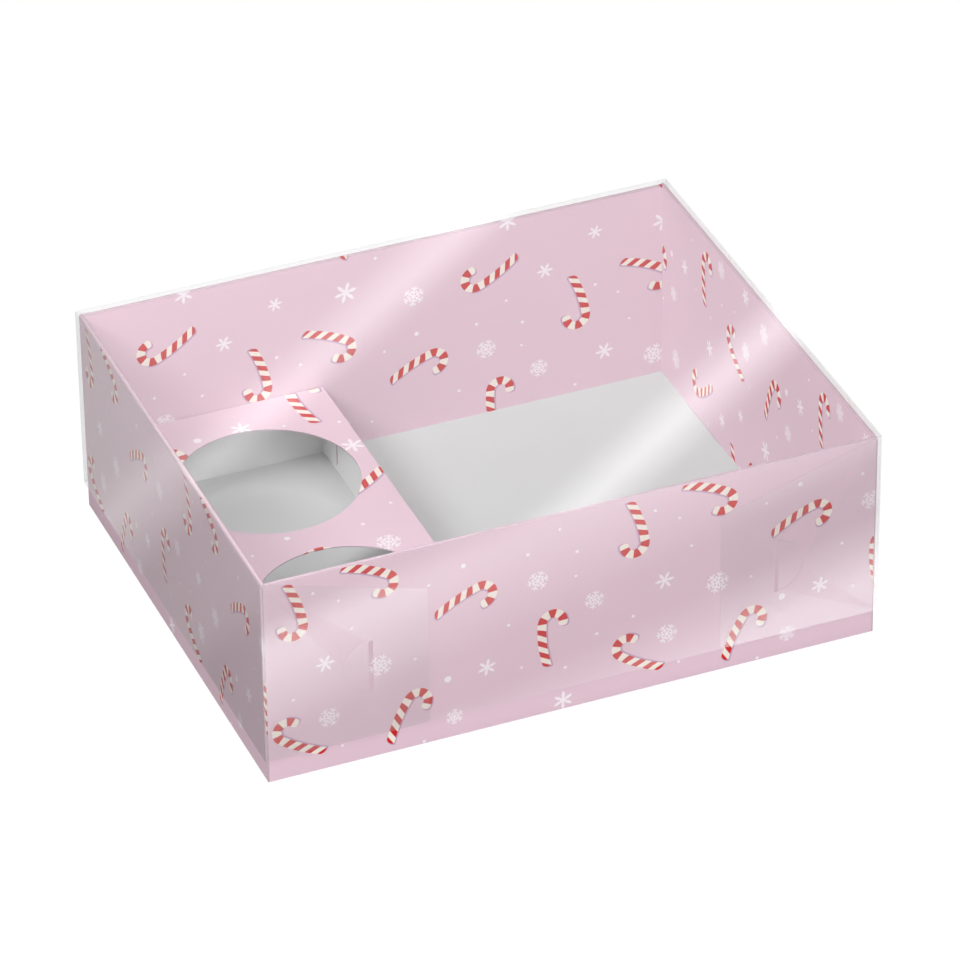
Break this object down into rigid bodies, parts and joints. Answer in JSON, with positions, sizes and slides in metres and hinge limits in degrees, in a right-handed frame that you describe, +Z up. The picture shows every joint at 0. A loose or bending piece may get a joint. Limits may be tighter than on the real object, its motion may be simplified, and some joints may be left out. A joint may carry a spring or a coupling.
{
  "type": "sweet box with clear lid and cupcake riser",
  "caption": "Printed card tray with rolled double walls, a clear folded lift-off lid locked by corner tongues, and a card riser with round holes for cupcakes.",
  "frame": {"origin": "middle of the tray's underside, on the surface the box stands on", "axes": "+Z up, +X along the long front wall to the right, +Y from the front wall to the back wall; the cupcake riser is at -X"},
  "size_m": [0.2526, 0.2046, 0.0912],
  "materials": {
    "tray_board": "pale pink printed board with red and cream striped candy canes, white snowflakes and small white dots, satin varnish; plain grey-white on the unprinted side",
    "floor_board": "plain light grey unprinted side of the board, matt",
    "riser_board": "the same pale pink print on top, plain light grey underneath",
    "lid_film": "clear glossy film with soft creases"
  },
  "bodies": {
    "base": {"base_floor": "floor_board", "base_front_wall": "tray_board", "base_back_wall": "tray_board", "base_left_wall": "tray_board", "base_right_wall": "tray_board", "base_front_lining": "tray_board", "base_back_lining": "tray_board", "base_left_lining": "tray_board", "base_right_lining": "tray_board", "base_front_left_corner_tab": "tray_board", "base_front_right_corner_tab": "tray_board", "base_back_left_corner_tab": "tray_board", "base_back_right_corner_tab": "tray_board"},
    "lid": {"lid_top": "lid_film", "lid_front_skirt": "lid_film", "lid_back_skirt": "lid_film", "lid_left_skirt": "lid_film", "lid_right_skirt": "lid_film", "lid_front_left_corner_flap": "lid_film", "lid_front_right_corner_flap": "lid_film", "lid_back_left_corner_flap": "lid_film", "lid_back_right_corner_flap": "lid_film"},
    "insert": {"insert_deck": "riser_board", "insert_left_leg": "riser_board", "insert_right_leg": "riser_board", "insert_front_leg": "riser_board", "insert_back_leg": "riser_board", "insert_front_glue_tab": "riser_board", "insert_back_glue_tab": "riser_board"}
  },
  "joints": [
    {"name": "lid_lift", "type": "slide", "parent": "base", "child": "lid", "axis": [0, 0, 1], "range_m": [0, 0.2]},
    {"name": "insert_lift", "type": "slide", "parent": "base", "child": "insert", "axis": [0, 0, 1], "range_m": [0, 0.1]}
  ],
  "couplings": [
    {"joint": "insert_lift", "follows": "lid_lift", "ratio": 0.5}
  ]
}
